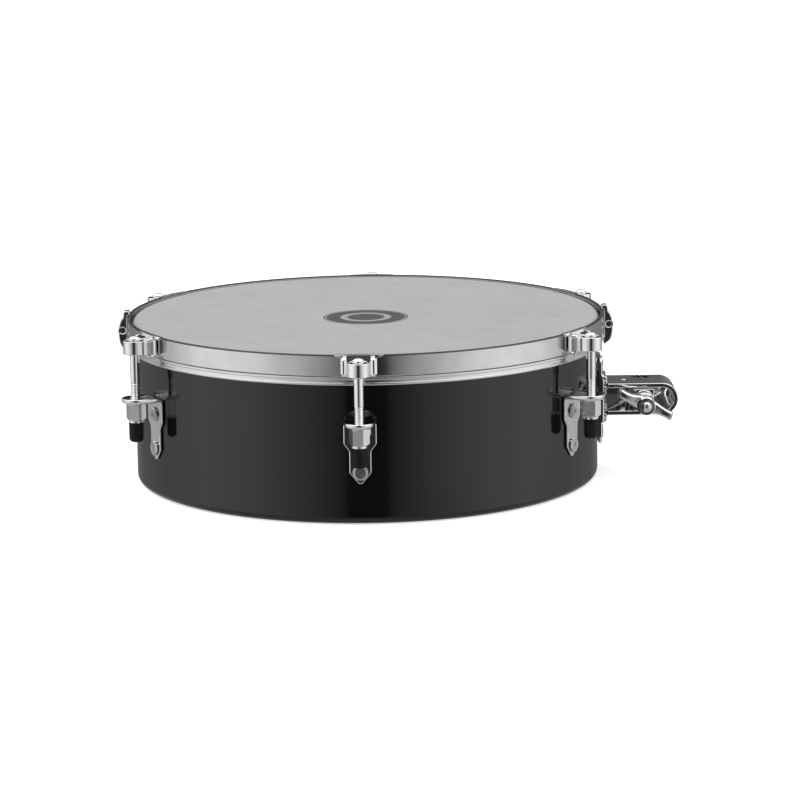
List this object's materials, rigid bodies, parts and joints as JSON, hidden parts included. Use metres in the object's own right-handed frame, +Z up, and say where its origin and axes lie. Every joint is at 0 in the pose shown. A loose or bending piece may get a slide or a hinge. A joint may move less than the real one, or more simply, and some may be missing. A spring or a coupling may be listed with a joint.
{
  "type": "timbale",
  "caption": "Shallow single-headed metal drum with tunable head, tension lugs and a side clamp that holds it on a vertical stand rod.",
  "frame": {"origin": "middle of the bounding box, on the plane the shell's bottom rim stands on; the drum's own axis is the vertical line through x = -0.02275, y = 0", "axes": "+Z up through the head, +X towards the side clamp, -Y towards the side the wing screw points to"},
  "size_m": [0.3984, 0.3814, 0.12],
  "materials": {
    "shell_lacquer": "deep gloss black",
    "head_film": "fine-coated white film",
    "flesh_hoop": "satin",
    "chrome": "polished plating",
    "steel": "zinc-plated",
    "rubber_cap": "matt"
  },
  "bodies": {
    "drum": {"shell": "shell_lacquer", "head_film": "head_film", "flesh_hoop": "flesh_hoop", "lug_plate_1": "chrome", "lug_plate_2": "chrome", "lug_plate_3": "chrome", "lug_plate_4": "chrome", "lug_plate_5": "chrome", "lug_plate_6": "chrome", "lug_screw_upper_1": "steel", "lug_screw_upper_2": "steel", "lug_screw_upper_3": "steel", "lug_screw_upper_4": "steel", "lug_screw_upper_5": "steel", "lug_screw_upper_6": "steel", "lug_screw_lower_1": "steel", "lug_screw_lower_2": "steel", "lug_screw_lower_3": "steel", "lug_screw_lower_4": "steel", "lug_screw_lower_5": "steel", "lug_screw_lower_6": "steel", "mount_base": "chrome", "mount_backing": "steel", "mount_screw_upper": "steel", "mount_screw_lower": "steel", "mount_strap": "chrome", "clamp_boss": "chrome"},
    "hoop": {"counterhoop": "chrome", "hoop_ear_1": "chrome", "hoop_ear_2": "chrome", "claw_1": "chrome", "claw_2": "chrome", "claw_3": "chrome", "claw_4": "chrome", "claw_5": "chrome", "claw_6": "chrome", "tension_rod_1": "chrome", "tension_rod_2": "chrome", "tension_rod_3": "chrome", "tension_rod_4": "chrome", "tension_rod_5": "chrome", "tension_rod_6": "chrome"},
    "nut_1": {"tension_nut_1": "chrome", "rod_cap_1": "rubber_cap"},
    "nut_2": {"tension_nut_2": "chrome", "rod_cap_2": "rubber_cap"},
    "nut_3": {"tension_nut_3": "chrome", "rod_cap_3": "rubber_cap"},
    "nut_4": {"tension_nut_4": "chrome", "rod_cap_4": "rubber_cap"},
    "nut_5": {"tension_nut_5": "chrome", "rod_cap_5": "rubber_cap"},
    "nut_6": {"tension_nut_6": "chrome", "rod_cap_6": "rubber_cap"},
    "jaw": {"clamp_jaw": "steel"},
    "wing": {"wing_screw": "chrome"}
  },
  "joints": [
    {"name": "hoop_lift", "type": "slide", "parent": "drum", "child": "hoop", "axis": [0, 0, 1], "range_m": [0, 0.006]},
    {"name": "nut_1_turn", "type": "hinge", "parent": "drum", "child": "nut_1", "pos_m": [-0.02812, -0.18092, 0.06], "axis": [0, 0, -1], "range_deg": [0, 2160]},
    {"name": "nut_2_turn", "type": "hinge", "parent": "drum", "child": "nut_2", "pos_m": [0.13125, -0.09511, 0.06], "axis": [0, 0, -1], "range_deg": [0, 2160]},
    {"name": "nut_3_turn", "type": "hinge", "parent": "drum", "child": "nut_3", "pos_m": [0.13662, 0.08581, 0.06], "axis": [0, 0, -1], "range_deg": [0, 2160]},
    {"name": "nut_4_turn", "type": "hinge", "parent": "drum", "child": "nut_4", "pos_m": [-0.01738, 0.18092, 0.06], "axis": [0, 0, -1], "range_deg": [0, 2160]},
    {"name": "nut_5_turn", "type": "hinge", "parent": "drum", "child": "nut_5", "pos_m": [-0.17675, 0.09511, 0.06], "axis": [0, 0, -1], "range_deg": [0, 2160]},
    {"name": "nut_6_turn", "type": "hinge", "parent": "drum", "child": "nut_6", "pos_m": [-0.18212, -0.08581, 0.06], "axis": [0, 0, -1], "range_deg": [0, 2160]},
    {"name": "jaw_slide", "type": "slide", "parent": "drum", "child": "jaw", "axis": [0, -1, 0], "range_m": [0, 0.005]},
    {"name": "wing_turn", "type": "hinge", "parent": "jaw", "child": "wing", "pos_m": [0.17425, -0.034, 0.05355], "axis": [0, -1, 0], "range_deg": [0, 1440]}
  ],
  "couplings": [
    {"joint": "nut_1_turn", "follows": "hoop_lift", "rad_per_m": 6283.2},
    {"joint": "nut_2_turn", "follows": "hoop_lift", "rad_per_m": 6283.2},
    {"joint": "nut_3_turn", "follows": "hoop_lift", "rad_per_m": 6283.2},
    {"joint": "nut_4_turn", "follows": "hoop_lift", "rad_per_m": 6283.2},
    {"joint": "nut_5_turn", "follows": "hoop_lift", "rad_per_m": 6283.2},
    {"joint": "nut_6_turn", "follows": "hoop_lift", "rad_per_m": 6283.2},
    {"joint": "wing_turn", "follows": "jaw_slide", "rad_per_m": 5026.5}
  ]
}
